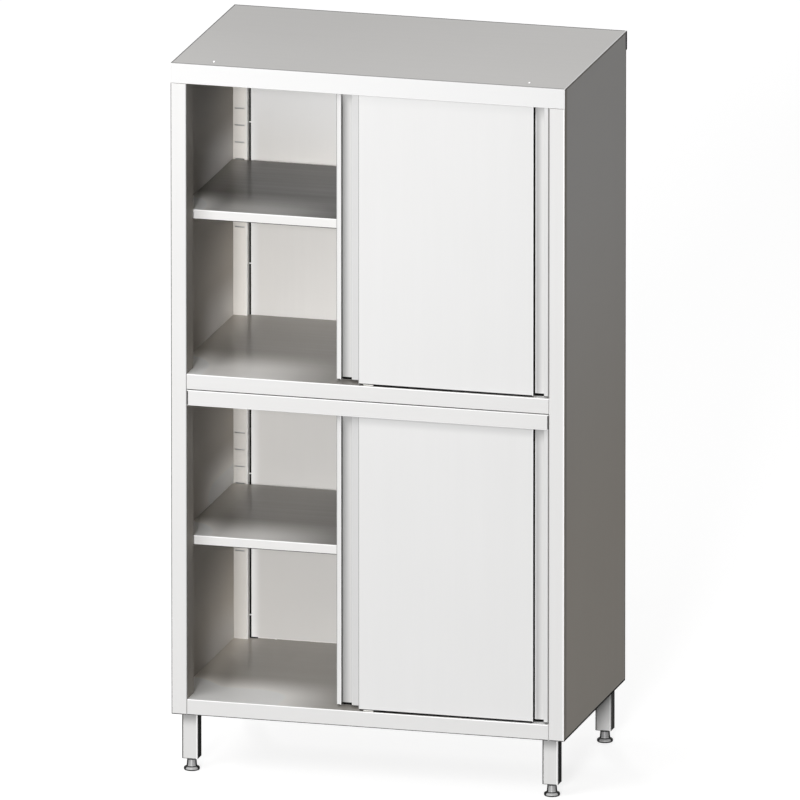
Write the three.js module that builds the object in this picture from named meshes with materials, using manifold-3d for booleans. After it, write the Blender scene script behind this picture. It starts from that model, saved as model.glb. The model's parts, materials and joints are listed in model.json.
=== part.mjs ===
import * as THREE from "three";
import { mergeVertices } from "three/addons/utils/BufferGeometryUtils.js";
import Module from "manifold-3d";

const wasm = await Module();
wasm.setup();

// A tall stainless steel cabinet with two chambers. Each chamber has two doors that hang from a
// double track and slide one in front of the other, a loose shelf on four clips, and a guide on
// its floor for the bottom edges of the doors. Both left doors stand open.
// Lengths are in millimetres. X runs to the right, Y to the back and Z up, and the origin lies on
// the floor, under the middle of the cabinet.

// Overall sizes
const width = 1000;
const depth = 600;
const legHeight = 150;
const lowerOpening = 749;
const upperOpening = 736;

// Sheet metal, the gap between pieces that touch, the step between the edges of a sheet and a
// flange welded into it, and how far a cut runs past the face it leaves
const sheet = 1.2;
const bendInside = 0.8;
const bendSteps = 3;
const seat = 0.3;
const weldStep = 0.1;
const overrun = 2;

// Side panels
const rearOverhang = 7;
const stileWidth = 40;
const stileReturn = 63;
const railWidth = 38;
const railDepth = 17;
const rearFlange = 60;
const sideLip = 12;

// Slots for the shelf clips, counted up from a chamber's floor
const slotWidth = 24;
const slotHeight = 3.5;
const slotInset = 6.5;
const slotStart = 226;
const slotPitch = 43.2;
const slotHeadroom = 205;

// Top panel and its two screws
const headerHeight = 50;
const headerLip = 4;
const topRearFlange = 48;
const screwInset = 100;
const screwSetback = 41;
const screwShank = 2.2;
const screwHead = 3;
const screwDome = 1.8;
const screwGrip = 2;

// Fixed shelves and the strip under the middle one
const shelfFlange = 40;
const shelfLip = 15;
const upstandHeight = 12;
const lowerHeaderHeight = 40;
const seamGap = 0.8;
const headerEndGap = 0.5;

// Back panel and its welding tabs
const panelInset = 43.5;
const panelFloorGap = 3;
const tabWidth = 3;
const tabHeightShares = [0.035, 0.26, 0.594, 0.818];
const tabSideShares = [0.0685, 0.9315];

// Doors
const doorThickness = 25;
const doorSetback = 6;
const doorPlaneGap = 4;
const doorOverlap = 50;
const doorEndGap = 2;
const doorExposed = 63.5;
const doorFloorGap = 3.5;
const doorChannel = 7;
const gripLip = 12;
const gripWidth = 27;
const gripBackSpace = 8;

// Door tracks, with the stops that the hangers meet at the ends of their travel
const trackSlot = 8;
const trackClear = 1;
const trackEndGap = 1;
const stopGap = 0.5;
const stopThickness = 3;
const stopHeight = 12;

// Roller hangers and their wheels
const hangerInset = 60;
const hangerPlate = 2.5;
const hangerWidth = 22;
const hangerBase = 34;
const hangerNotchGap = 0.5;
const riserOffset = 0.5;
const riserCrown = 5;
const wheelRadius = 8.5;
const wheelHeadroom = 5.8;
const wheelWallGap = 1.5;
const wheelChamfer = 0.8;
const axleRadius = 2.5;
const axleShoulder = 3.5;
const axleHead = 4;
const axleHeadThickness = 1.2;
const wheelSides = 28;
const axleSides = 16;

// Floor guides
const guideWidth = 25;
const guidePlate = 2.3;
const guideFin = 11;
const guideSideGap = 1;

// Adjustable shelves
const adjustableFlange = 24.5;
const adjustableLip = 12;
const adjustableSideFlange = 20;
const adjustableSideGap = 1;
const adjustableFrontGap = 7;
const adjustableRearGap = 8;
const shelfAboveSlot = 1.2;
const shelfSlotShare = 0.57;

// Shelf clips
const clipPlate = 2;
const clipWidth = 20;
const clipHook = 4;
const clipLedge = 18;
const clipBend = 0.3;

// Legs, the inserts in their ends, and the feet
const legSize = 40;
const legWall = 1.5;
const legRound = 3.5;
const legSteps = 4;
const legInsetSide = 21;
const legInsetFront = 20;
const legInsetRear = 21;
const insertHeight = 28;
const footDisc = 20;
const footSole = 17;
const footDiscBase = 1.6;
const footDiscRim = 7;
const footDiscHeight = 9.5;
const footHeight = 32.2;
const footNeckBottom = 13;
const footNeckTop = 11.5;
const footFlare = 15.5;
const footFlareHeight = 11.5;
const footNeckStart = 14;
const stemRadius = 5;
const stemLength = 44;
const stemChamfer = 1;
const footSides = 24;

// Planes of the cabinet
const left = -width / 2;
const front = -depth / 2;
const back = depth / 2;
const sideBack = back - rearOverhang;
const stileBack = front + stileReturn;
const railFront = sideBack - railDepth;
const panelBack = sideBack - sheet - seat;
const panelFront = panelBack - sheet;
const lowerFloor = legHeight + shelfFlange;
const lowerHeaderBottom = lowerFloor + lowerOpening;
const middle = lowerHeaderBottom + lowerHeaderHeight;
const upperFloor = middle + shelfFlange;
const headerBottom = upperFloor + upperOpening;
const top = headerBottom + headerHeight;
const lowerHeaderTop = middle - seamGap;

// Planes of the doors and the room that they leave for the track and the wheels
const doorWidth = (width - 2 * stileWidth + doorOverlap) / 2 - doorEndGap;
const doorPitch = doorThickness + doorPlaneGap;
const rightDoorY = front + doorSetback + doorThickness / 2;
const leftDoorY = rightDoorY + doorPitch;
const rightDoorX = width / 2 - stileWidth - doorEndGap - doorWidth / 2;
const leftDoorX = rightDoorX - doorExposed;
const doorTravel = leftDoorX - doorWidth / 2 - (left + stileWidth + doorEndGap);
const gripDepth = doorThickness - gripBackSpace;
const trackFront = rightDoorY - doorPitch / 2;
const trackBack = leftDoorY + doorPitch / 2;
const trackHeight = 2 * sheet + seat + 2 * wheelRadius + wheelHeadroom;
const wheelStart = trackSlot / 2 + seat;
const wheelEnd = doorPitch / 2 - sheet - wheelWallGap - axleHeadThickness - seat;
const wheelWidth = wheelEnd - wheelStart;
const axisRise = trackClear + sheet + seat + wheelRadius;

const satinSteel = new THREE.MeshStandardMaterial({ color: 0xdcdcd9, roughness: 0.4, metalness: 0.85 });
const doorSteel = new THREE.MeshStandardMaterial({ color: 0xe6e6e4, roughness: 0.36, metalness: 0.85 });
const zincSteel = new THREE.MeshStandardMaterial({ color: 0xb9bcbd, roughness: 0.45, metalness: 0.9 });
const turnedSteel = new THREE.MeshStandardMaterial({ color: 0xc4c4c2, roughness: 0.25, metalness: 1 });
const whiteNylon = new THREE.MeshStandardMaterial({ color: 0xe8e6df, roughness: 0.55, metalness: 0 });
const blackNylon = new THREE.MeshStandardMaterial({ color: 0x1c1c1d, roughness: 0.6, metalness: 0 });

const cabinet = new THREE.Group();

function add(name, geometry, material, parent = cabinet) {
  const mesh = new THREE.Mesh(geometry, material);
  mesh.name = name;
  parent.add(mesh);
  return mesh;
}

// Closed meshes and solids that can be joined and cut
function solid(geometry) {
  const bare = geometry.clone();
  bare.deleteAttribute("normal");
  bare.deleteAttribute("uv");
  const merged = mergeVertices(bare);
  const vertProperties = merged.attributes.position.array;
  const triVerts = new Uint32Array(merged.index.array);
  return new wasm.Manifold(new wasm.Mesh({ numProp: 3, vertProperties, triVerts }));
}

function geometryOf(made) {
  const mesh = made.getMesh();
  const geometry = new THREE.BufferGeometry();
  geometry.setAttribute("position", new THREE.BufferAttribute(mesh.vertProperties, mesh.numProp));
  geometry.setIndex(new THREE.BufferAttribute(mesh.triVerts, 1));
  geometry.computeVertexNormals();
  return geometry;
}

function block([x0, x1], [y0, y1], [z0, z1]) {
  const box = new THREE.BoxGeometry(x1 - x0, y1 - y0, z1 - z0);
  return box.translate((x0 + x1) / 2, (y0 + y1) / 2, (z0 + z1) / 2);
}

function prism(shape, length) {
  return new THREE.ExtrudeGeometry(shape, { depth: length, bevelEnabled: false, curveSegments: legSteps });
}

// An outline in X and Y, extruded upwards
function upright(shape, [z0, z1]) {
  return prism(shape, z1 - z0).translate(0, 0, z0);
}

// An outline in Y and Z, extruded to the right
function sideways(shape, [x0, x1]) {
  const turn = new THREE.Matrix4();
  turn.makeBasis(new THREE.Vector3(0, 1, 0), new THREE.Vector3(0, 0, 1), new THREE.Vector3(1, 0, 0));
  return prism(shape, x1 - x0).applyMatrix4(turn).translate(x0, 0, 0);
}

// The two faces of a folded sheet in outline. The outer face runs through the corners, and the
// sheet lies to the left of that line where side is 1, and to the right where it is -1.
function foldLines(corners, side, thickness, inside) {
  const points = corners.map(([u, v]) => new THREE.Vector2(u, v));
  const outerLine = [];
  const innerLine = [];
  points.forEach((point, i) => {
    const before = i > 0 ? point.clone().sub(points[i - 1]).normalize() : null;
    const after = i < points.length - 1 ? points[i + 1].clone().sub(point).normalize() : null;
    if (!before || !after) {
      const along = before ?? after;
      const inward = new THREE.Vector2(-along.y, along.x).multiplyScalar(side);
      outerLine.push(point);
      innerLine.push(point.clone().addScaledVector(inward, thickness));
      return;
    }
    const angle = Math.atan2(before.cross(after), before.dot(after));
    const turn = Math.sign(angle);
    const outerRadius = turn === side ? inside + thickness : inside;
    const innerRadius = turn === side ? inside : inside + thickness;
    const reach = outerRadius * Math.tan(Math.abs(angle) / 2);
    const toCentre = new THREE.Vector2(-before.y, before.x).multiplyScalar(turn);
    const centre = point.clone().addScaledVector(before, -reach).addScaledVector(toCentre, outerRadius);
    for (let step = 0; step <= bendSteps; step++) {
      const outward = toCentre.clone().negate().rotateAround(new THREE.Vector2(), (angle * step) / bendSteps);
      outerLine.push(centre.clone().addScaledVector(outward, outerRadius));
      innerLine.push(centre.clone().addScaledVector(outward, innerRadius));
    }
  });
  return { outerLine, innerLine };
}

function folded(corners, side, thickness = sheet, inside = bendInside) {
  const { outerLine, innerLine } = foldLines(corners, side, thickness, inside);
  return new THREE.Shape([...outerLine, ...innerLine.reverse()]);
}

// The area that a folded sheet encloses, up to the middle of the sheet, for flanges welded into it
function enclosed(corners, side) {
  const { outerLine, innerLine } = foldLines(corners, side, sheet, bendInside);
  return new THREE.Shape(outerLine.map((point, i) => point.clone().lerp(innerLine[i], 1 / 2)));
}

// A turned piece about the Y axis, from pairs of radius and height
function turned(pairs, sides) {
  return new THREE.LatheGeometry(pairs.map(([radius, height]) => new THREE.Vector2(radius, height)), sides);
}

// Heights of a chamber's slots, and of the slot that carries the adjustable shelf's clips
function slotsOf({ floor, opening }) {
  const count = Math.floor((opening - slotStart - slotHeadroom) / slotPitch) + 1;
  return Array.from({ length: count }, (_, i) => floor + slotStart + i * slotPitch);
}

function clipSlotOf(chamber) {
  const slots = slotsOf(chamber);
  return slots[Math.round(shelfSlotShare * (slots.length - 1))];
}

const chambers = [
  { name: "upper", floor: upperFloor, opening: upperOpening, ceiling: top - sheet },
  { name: "lower", floor: lowerFloor, opening: lowerOpening, ceiling: lowerHeaderTop - sheet },
];

// The four legs stand under the bottom shelf, inside its flanges
const legX = width / 2 - legInsetSide - legSize / 2;
const legPlaces = [
  { name: "front_left", x: -legX, y: front + legInsetFront + legSize / 2 },
  { name: "front_right", x: legX, y: front + legInsetFront + legSize / 2 },
  { name: "rear_left", x: -legX, y: sideBack - legInsetRear - legSize / 2 },
  { name: "rear_right", x: legX, y: sideBack - legInsetRear - legSize / 2 },
];
const legTop = lowerFloor - sheet - seat;

function legRoom({ x, y }) {
  const reach = legSize / 2 + seat;
  const rise = [legHeight - overrun, legTop + seat / 2];
  return solid(block([x - reach, x + reach], [y - reach, y + reach], rise));
}

// Side panels: the stile, its return and its slotted rear face, the wall and the rear flange are
// one folded sheet, and the slotted rear rail is welded to the flange
function sidePanel() {
  const wallInside = left + sheet + seat;
  const bottom = legHeight;
  const ceiling = top - sheet - seat;
  const wall = folded(
    [
      [wallInside, stileBack],
      [left + stileWidth, stileBack],
      [left + stileWidth, front],
      [left, front],
      [left, sideBack],
      [left + rearFlange, sideBack],
    ],
    -1,
  );
  const rail = folded(
    [
      [wallInside, railFront],
      [left + railWidth, railFront],
      [left + railWidth, sideBack - sheet / 2],
    ],
    1,
  );
  const lip = block(
    [left + sheet / 2, left + sideLip],
    [stileBack + seat, railFront - seat],
    [bottom + weldStep, bottom + weldStep + sheet],
  );
  const railHeight = [bottom + weldStep, ceiling - weldStep];
  let panel = solid(upright(wall, [bottom, ceiling]));
  panel = panel.add(solid(upright(rail, railHeight))).add(solid(lip));
  const slotX = [left + slotInset, left + slotInset + slotWidth];
  const slotFaces = [
    [stileBack - sheet - seat, stileBack + overrun],
    [railFront - overrun, railFront + sheet + seat],
  ];
  for (const z of chambers.flatMap(slotsOf)) {
    for (const slotY of slotFaces) {
      panel = panel.subtract(solid(block(slotX, slotY, [z - slotHeight / 2, z + slotHeight / 2])));
    }
  }
  for (const place of legPlaces.filter(({ x }) => x < 0)) panel = panel.subtract(legRoom(place));
  const headerRoom = block(
    [left - overrun, left + stileWidth + overrun],
    [front - overrun, front + sheet + seat],
    [headerBottom - seat, top],
  );
  return geometryOf(panel.subtract(solid(headerRoom)));
}

const side = sidePanel();
add("left_side_panel", side, satinSteel);
add("right_side_panel", side, satinSteel).scale.x = -1;

// Screw holes and screws lie on both sides of the middle
const screwPlaces = [
  { name: "left", x: left + screwInset },
  { name: "right", x: -left - screwInset },
];
const screwY = front + screwSetback;

function screwHole({ x }) {
  const depthOfHole = headerHeight;
  const pairs = [
    [0, -depthOfHole],
    [screwShank + seat, -depthOfHole],
    [screwShank + seat, overrun],
    [0, overrun],
  ];
  return solid(turned(pairs, axleSides).rotateX(Math.PI / 2).translate(x, screwY, top));
}

// Top panel: its front flange is the header of the upper opening
function topPanel() {
  const outline = folded(
    [
      [sideBack + seat, top - topRearFlange],
      [back, top - topRearFlange],
      [back, top],
      [front, top],
      [front, headerBottom],
      [front + headerLip, headerBottom],
    ],
    1,
  );
  let panel = solid(sideways(outline, [left, -left]));
  for (const sign of [-1, 1]) {
    const span = [sign * (width / 2 - stileWidth - seat), sign * (width / 2 + overrun)];
    const stileRoom = block(
      [Math.min(...span), Math.max(...span)],
      [front + sheet, front + headerLip + overrun],
      [headerBottom - overrun, headerBottom + sheet + bendInside],
    );
    panel = panel.subtract(solid(stileRoom));
  }
  for (const place of screwPlaces) panel = panel.subtract(screwHole(place));
  return geometryOf(panel);
}

add("top_panel", topPanel(), satinSteel);

for (const { name, x } of screwPlaces) {
  const shankEnd = 2 * sheet + seat + screwGrip;
  const pairs = [
    [0, -shankEnd],
    [screwShank, -shankEnd],
    [screwShank, seat],
    [screwHead, seat],
    [screwHead * Math.cos(Math.PI / 8), seat + screwDome / 2],
    [screwHead * Math.cos(Math.PI / 4), seat + screwDome * Math.sin(Math.PI / 3)],
    [0, seat + screwDome],
  ];
  const screw = turned(pairs, axleSides).rotateX(Math.PI / 2);
  add("track_screw_" + name, screw, turnedSteel).position.set(x, screwY, top);
}

// Back panel, behind both chambers, on the rear flanges of the sides
function backPanel() {
  const edge = width / 2 - panelInset;
  const bottom = lowerFloor + panelFloorGap;
  const ceiling = top - sheet - seat;
  const thickness = [panelFront, panelBack];
  let panel = solid(block([-edge, edge], thickness, [bottom, ceiling]));
  for (const share of tabHeightShares) {
    const z = bottom + share * (ceiling - bottom);
    const reach = width / 2 - railWidth - seat;
    panel = panel.add(solid(block([-reach, reach], thickness, [z - tabWidth / 2, z + tabWidth / 2])));
  }
  for (const share of tabSideShares) {
    const x = -edge + share * 2 * edge;
    const tab = block([x - tabWidth, x + tabWidth], thickness, [lowerFloor + seat, bottom + sheet]);
    panel = panel.add(solid(tab));
  }
  return geometryOf(panel);
}

add("back_panel", backPanel(), satinSteel);

// Fixed shelves: a pan with flanges all round, notched for the stiles and the rear rails
function fixedShelf(floor, rear) {
  const bottom = floor - shelfFlange;
  const reach = width / 2 - sheet - seat;
  const outline = folded(
    [
      [front + shelfLip, bottom],
      [front, bottom],
      [front, floor],
      [rear, floor],
      [rear, bottom],
      [rear - shelfLip, bottom],
    ],
    -1,
  );
  let shelf = solid(sideways(outline, [-reach, reach]));
  for (const sign of [-1, 1]) {
    const span = (inner, outer) => (sign < 0 ? [-outer, -inner] : [inner, outer]);
    const flange = block(
      span(reach - sheet, reach),
      [stileBack, railFront],
      [bottom + sheet + seat, floor - sheet / 2],
    );
    const height = [bottom - overrun, floor + overrun];
    const stileSpan = span(width / 2 - stileWidth - seat, width / 2);
    const railSpan = span(width / 2 - railWidth - seat, width / 2);
    const stileRoom = block(stileSpan, [front - overrun, stileBack + seat], height);
    const railRoom = block(railSpan, [railFront - seat, back], height);
    shelf = shelf.add(solid(flange)).subtract(solid(stileRoom)).subtract(solid(railRoom));
  }
  return shelf;
}

// The bottom shelf has a strip that stands up behind the back panel, between the rear flanges
let bottomShelf = fixedShelf(lowerFloor, panelBack);
const upstandFoot = lowerFloor - weldStep - sheet;
const upstandReach = width / 2 - rearFlange - seat;
const upstand = folded(
  [
    [panelBack - 2 * sheet, upstandFoot],
    [sideBack, upstandFoot],
    [sideBack, upstandFoot + upstandHeight],
  ],
  1,
);
bottomShelf = bottomShelf.add(solid(sideways(upstand, [-upstandReach, upstandReach])));
for (const place of legPlaces) bottomShelf = bottomShelf.subtract(legRoom(place));
add("bottom_shelf", geometryOf(bottomShelf), satinSteel);
add("mid_shelf", geometryOf(fixedShelf(upperFloor, panelFront - seat)), satinSteel);

// The strip that closes the lower opening at its top and carries the lower track
const lowerHeader = folded(
  [
    [front + headerLip, lowerHeaderBottom],
    [front, lowerHeaderBottom],
    [front, lowerHeaderTop],
    [trackBack, lowerHeaderTop],
  ],
  -1,
);
const headerReach = width / 2 - stileWidth - headerEndGap;
add("lower_header", sideways(lowerHeader, [-headerReach, headerReach]), satinSteel);

// Double track: two channels, each open at the bottom by a slot for the risers
function trackOutline(bottom, ceiling) {
  const roof = ceiling - sheet;
  const ledge = bottom + sheet;
  const half = trackSlot / 2;
  const web = (rightDoorY + leftDoorY) / 2;
  const corners = [
    [trackFront, bottom],
    [trackFront, ceiling],
    [trackBack, ceiling],
    [trackBack, bottom],
    [leftDoorY + half, bottom],
    [leftDoorY + half, ledge],
    [trackBack - sheet, ledge],
    [trackBack - sheet, roof],
    [web + sheet / 2, roof],
    [web + sheet / 2, ledge],
    [leftDoorY - half, ledge],
    [leftDoorY - half, bottom],
    [rightDoorY + half, bottom],
    [rightDoorY + half, ledge],
    [web - sheet / 2, ledge],
    [web - sheet / 2, roof],
    [trackFront + sheet, roof],
    [trackFront + sheet, ledge],
    [rightDoorY - half, ledge],
    [rightDoorY - half, bottom],
  ];
  return new THREE.Shape(corners.map(([y, z]) => new THREE.Vector2(y, z)));
}

// A door's risers meet these two tabs at the ends of its travel
function stopsOf(x, y, bottom) {
  const hangerReach = doorWidth / 2 - hangerInset + hangerWidth / 2 + stopGap;
  const rightFace = x + hangerReach;
  const leftFace = x - doorTravel - hangerReach;
  const across = [y - doorPitch / 2 + sheet / 4, y - riserOffset];
  const rise = [bottom + sheet / 2, bottom + sheet + stopHeight];
  return [
    solid(block([leftFace - stopThickness, leftFace], across, rise)),
    solid(block([rightFace, rightFace + stopThickness], across, rise)),
  ];
}

function doorTrack({ ceiling }) {
  const trackTop = ceiling - seat;
  const bottom = trackTop - trackHeight;
  const reach = width / 2 - stileWidth - trackEndGap;
  let track = solid(sideways(trackOutline(bottom, trackTop), [-reach, reach]));
  const stops = [...stopsOf(rightDoorX, rightDoorY, bottom), ...stopsOf(leftDoorX, leftDoorY, bottom)];
  for (const stop of stops) track = track.add(stop);
  return track;
}

for (const chamber of chambers) {
  let track = doorTrack(chamber);
  if (chamber.name === "upper") {
    for (const place of screwPlaces) track = track.subtract(screwHole(place));
  }
  add(chamber.name + "_door_track", geometryOf(track), zincSteel);
}

// Door skins, about the middle of the door, with its bottom edge at zero. The grip is a recess of
// full height near the right edge.
const doorHalf = doorWidth / 2;
const doorFace = -doorThickness / 2;
const doorRear = doorThickness / 2;
const lipInner = doorHalf - gripLip;
const gripInner = lipInner - gripWidth;
const gripFloor = doorFace + gripDepth;
const hangerX = doorHalf - hangerInset;
const riserSpan = [-riserOffset - hangerPlate, -riserOffset];

function doorFaceSkin(height) {
  const corners = [
    [-doorHalf, doorRear],
    [-doorHalf, doorFace],
    [gripInner, doorFace],
    [gripInner, gripFloor],
    [lipInner, gripFloor],
    [lipInner, doorFace],
    [doorHalf, doorFace],
    [doorHalf, doorRear],
  ];
  const ends = [weldStep, height - weldStep];
  const flanges = solid(upright(enclosed(corners, 1), ends));
  const everyX = [-doorHalf, doorHalf];
  const bottomFlange = block(everyX, [doorFace, -doorChannel / 2], [-overrun, ends[0] + sheet]);
  const topY = [doorFace, doorRear - sheet - seat];
  const topFlange = block(everyX, topY, [ends[1] - sheet, height + overrun]);
  let skin = flanges.intersect(solid(topFlange));
  for (const sign of [-1, 1]) {
    const reach = hangerWidth / 2 + hangerNotchGap;
    const notch = block(
      [sign * hangerX - reach, sign * hangerX + reach],
      [riserSpan[0] - hangerNotchGap, riserSpan[1] + hangerNotchGap],
      [height - sheet - overrun, height + overrun],
    );
    skin = skin.subtract(solid(notch));
  }
  skin = skin.add(flanges.intersect(solid(bottomFlange)));
  return geometryOf(skin.add(solid(upright(folded(corners, 1), [0, height]))));
}

function doorBackSkin(height) {
  const reach = doorHalf - sheet - seat;
  const outline = folded(
    [
      [doorChannel / 2, 0],
      [doorRear, 0],
      [doorRear, height],
    ],
    1,
  );
  const gripRoom = block(
    [gripInner - sheet - seat, doorHalf],
    [doorFace, doorRear - sheet - bendInside - seat],
    [-overrun, sheet + seat],
  );
  return geometryOf(solid(sideways(outline, [-reach, reach])).subtract(solid(gripRoom)));
}

// A hanger's base lies under the door's top flange, its riser passes up through the flange and
// the track's slot, and its stub axle carries the wheel beside the slot
function hanger(height) {
  const baseTop = height - weldStep - sheet - seat;
  const baseBottom = baseTop - hangerPlate;
  const axis = height + axisRise;
  const base = block(
    [-hangerBase / 2, hangerBase / 2],
    [doorFace + sheet + seat, doorRear - sheet - seat],
    [baseBottom, baseTop],
  );
  const riser = block([-hangerWidth / 2, hangerWidth / 2], riserSpan, [baseBottom, axis + riserCrown]);
  const root = riserSpan[0] + hangerPlate / 2;
  const axle = [
    [0, root],
    [axleShoulder, root],
    [axleShoulder, wheelStart - seat],
    [axleRadius, wheelStart - seat],
    [axleRadius, wheelEnd + seat],
    [axleHead, wheelEnd + seat],
    [axleHead, wheelEnd + seat + axleHeadThickness],
    [0, wheelEnd + seat + axleHeadThickness],
  ];
  const stub = solid(turned(axle, axleSides).translate(0, 0, axis));
  return geometryOf(solid(base).add(solid(riser)).add(stub));
}

const bore = axleRadius + seat;
const wheelProfile = [
  [bore, wheelStart],
  [wheelRadius - wheelChamfer, wheelStart],
  [wheelRadius, wheelStart + wheelChamfer],
  [wheelRadius, wheelEnd - wheelChamfer],
  [wheelRadius - wheelChamfer, wheelEnd],
  [bore, wheelEnd],
  [bore, wheelStart],
];
const wheel = turned(wheelProfile, wheelSides);

// The right doors slide in the front channels with their grips at the right. The left doors slide
// behind them and are the same pieces with the grips at the left.
const doors = [
  { name: "right_door", x: rightDoorX, y: rightDoorY, grip: 1 },
  { name: "left_door", x: leftDoorX, y: leftDoorY, grip: -1 },
];
const ends = [
  { name: "left", sign: -1 },
  { name: "right", sign: 1 },
];

for (const chamber of chambers) {
  const bottom = chamber.floor + doorFloorGap;
  const height = chamber.ceiling - seat - trackHeight - trackClear - bottom;
  const faceSkin = doorFaceSkin(height);
  const backSkin = doorBackSkin(height);
  const hangerGeometry = hanger(height);
  for (const door of doors) {
    const name = chamber.name + "_" + door.name;
    const group = new THREE.Group();
    group.position.set(door.x, door.y, bottom);
    cabinet.add(group);
    add(name + "_face", faceSkin, doorSteel, group).scale.x = door.grip;
    add(name + "_back", backSkin, doorSteel, group).scale.x = door.grip;
    for (const end of ends) {
      const hung = add(name + "_hanger_" + end.name, hangerGeometry, zincSteel, group);
      hung.position.x = end.sign * hangerX;
      const roller = add(name + "_roller_" + end.name, wheel, whiteNylon, group);
      roller.position.set(end.sign * hangerX, 0, height + axisRise);
    }
  }
}

// Floor guides: two fins stand in the channels along the bottom edges of the doors
for (const { name, floor } of chambers) {
  const halfWidth = guideWidth / 2;
  const plateTop = floor + seat + guidePlate;
  const fin = doorChannel / 2 - guideSideGap;
  const span = [-halfWidth, halfWidth];
  const plateReach = doorThickness / 2 - guideSideGap;
  const plateY = [rightDoorY - plateReach, leftDoorY + plateReach];
  let guide = solid(block(span, plateY, [floor + seat, plateTop]));
  for (const y of [rightDoorY, leftDoorY]) {
    const rise = [plateTop - guidePlate / 2, plateTop + guideFin];
    guide = guide.add(solid(block(span, [y - fin, y + fin], rise)));
  }
  add(name + "_door_guide", geometryOf(guide), whiteNylon);
}

// Adjustable shelves
function adjustableShelf() {
  const reach = width / 2 - sheet - adjustableSideGap;
  const frontEdge = stileBack + adjustableFrontGap;
  const rearEdge = railFront - adjustableRearGap;
  const corners = [
    [frontEdge + adjustableLip, -adjustableFlange],
    [frontEdge, -adjustableFlange],
    [frontEdge, 0],
    [rearEdge, 0],
    [rearEdge, -adjustableFlange],
    [rearEdge - adjustableLip, -adjustableFlange],
  ];
  const ends = reach - weldStep;
  const flanges = solid(sideways(enclosed(corners, -1), [-ends, ends]));
  const everyY = [frontEdge, rearEdge];
  let shelf = solid(sideways(folded(corners, -1), [-reach, reach]));
  for (const sign of [-1, 1]) {
    const span = [sign * (ends - sheet), sign * reach];
    const flange = block([Math.min(...span), Math.max(...span)], everyY, [-adjustableSideFlange, 0]);
    shelf = shelf.add(flanges.intersect(solid(flange)));
  }
  return geometryOf(shelf);
}

// A clip hooks down behind a slotted face, which lies at zero, and its ledge reaches out under
// the adjustable shelf. Towards is 1 on the front faces and -1 on the rear ones.
function clip(towards, slot, shelfTop) {
  const tongueTop = slot - slotHeight / 2 + seat + clipPlate;
  const ledgeTop = shelfTop - adjustableFlange - seat;
  const legFace = seat + clipPlate;
  const hookFace = -sheet - seat - clipPlate;
  const corners = [
    [hookFace, tongueTop - clipPlate - clipHook],
    [hookFace, tongueTop],
    [legFace, tongueTop],
    [legFace, ledgeTop],
    [clipLedge, ledgeTop],
  ];
  const outline = folded(corners.map(([s, z]) => [towards * s, z]), -towards, clipPlate, clipBend);
  return sideways(outline, [-clipWidth / 2, clipWidth / 2]);
}

const adjustableGeometry = adjustableShelf();
const clipX = width / 2 - slotInset - slotWidth / 2;
for (const chamber of chambers) {
  const slot = clipSlotOf(chamber);
  const shelfTop = slot + shelfAboveSlot;
  add(chamber.name + "_adjustable_shelf", adjustableGeometry, satinSteel).position.z = shelfTop;
  const clipRows = [
    { name: "front", y: stileBack, towards: 1 },
    { name: "rear", y: railFront, towards: -1 },
  ];
  for (const row of clipRows) {
    const geometry = clip(row.towards, slot, shelfTop);
    for (const end of ends) {
      const name = chamber.name + "_shelf_clip_" + row.name + "_" + end.name;
      add(name, geometry, zincSteel).position.set(end.sign * clipX, row.y, 0);
    }
  }
}

// Legs, inserts and feet
function roundedSquare(size, radius) {
  const half = size / 2;
  const inner = half - radius;
  const shape = new THREE.Shape();
  shape.moveTo(half, -inner);
  shape.lineTo(half, inner);
  shape.absarc(inner, inner, radius, 0, Math.PI / 2);
  shape.lineTo(-inner, half);
  shape.absarc(-inner, inner, radius, Math.PI / 2, Math.PI);
  shape.lineTo(-half, -inner);
  shape.absarc(-inner, -inner, radius, Math.PI, 1.5 * Math.PI);
  shape.lineTo(inner, -half);
  shape.absarc(inner, -inner, radius, 1.5 * Math.PI, 2 * Math.PI);
  return shape;
}

const tubeEnd = footHeight + seat;
const tubeOutline = roundedSquare(legSize, legRound);
tubeOutline.holes.push(roundedSquare(legSize - 2 * legWall, legRound - legWall));
const tube = upright(tubeOutline, [tubeEnd, legTop]);

const plugSize = legSize - 2 * legWall - 2 * seat;
const plugOutline = roundedSquare(plugSize, legRound - legWall);
const stemBore = Array.from({ length: footSides }, (_, i) => {
  const angle = (2 * Math.PI * i) / footSides;
  const radius = stemRadius + seat;
  return new THREE.Vector2(radius * Math.cos(angle), radius * Math.sin(angle));
});
plugOutline.holes.push(new THREE.Path(stemBore));
const plug = upright(plugOutline, [tubeEnd, tubeEnd + insertHeight]);

const stemTop = footHeight + stemLength;
const footProfile = [
  [0, 0],
  [footSole, 0],
  [footDisc, footDiscBase],
  [footDisc, footDiscRim],
  [(footDisc + footFlare) / 2, footDiscHeight],
  [footFlare, footFlareHeight],
  [footNeckBottom, footNeckStart],
  [footNeckTop, footHeight],
  [stemRadius, footHeight],
  [stemRadius, stemTop - stemChamfer],
  [stemRadius - stemChamfer, stemTop],
  [0, stemTop],
];
const foot = turned(footProfile, footSides).rotateX(Math.PI / 2);

for (const { name, x, y } of legPlaces) {
  add("leg_" + name, tube, satinSteel).position.set(x, y, 0);
  add("leg_insert_" + name, plug, blackNylon).position.set(x, y, 0);
  add("foot_" + name, foot, turnedSteel).position.set(x, y, 0);
}

export default cabinet;
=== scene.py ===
# %% [markdown]
# A tall cabinet of satin stainless steel: two chambers, four hanging doors, loose shelves on
# clips, and four legs with levelling feet. The exact solids come from CAD as a fixed frame, in
# metres, with Z up and the doors facing -Y. This script gives every piece its finish, makes the
# pieces again that deserve a finer surface than flat facets, and sets up a plain studio.

# %% Load the frame
import json
import math

import bmesh
import bpy
from mathutils import Matrix, Vector


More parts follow.
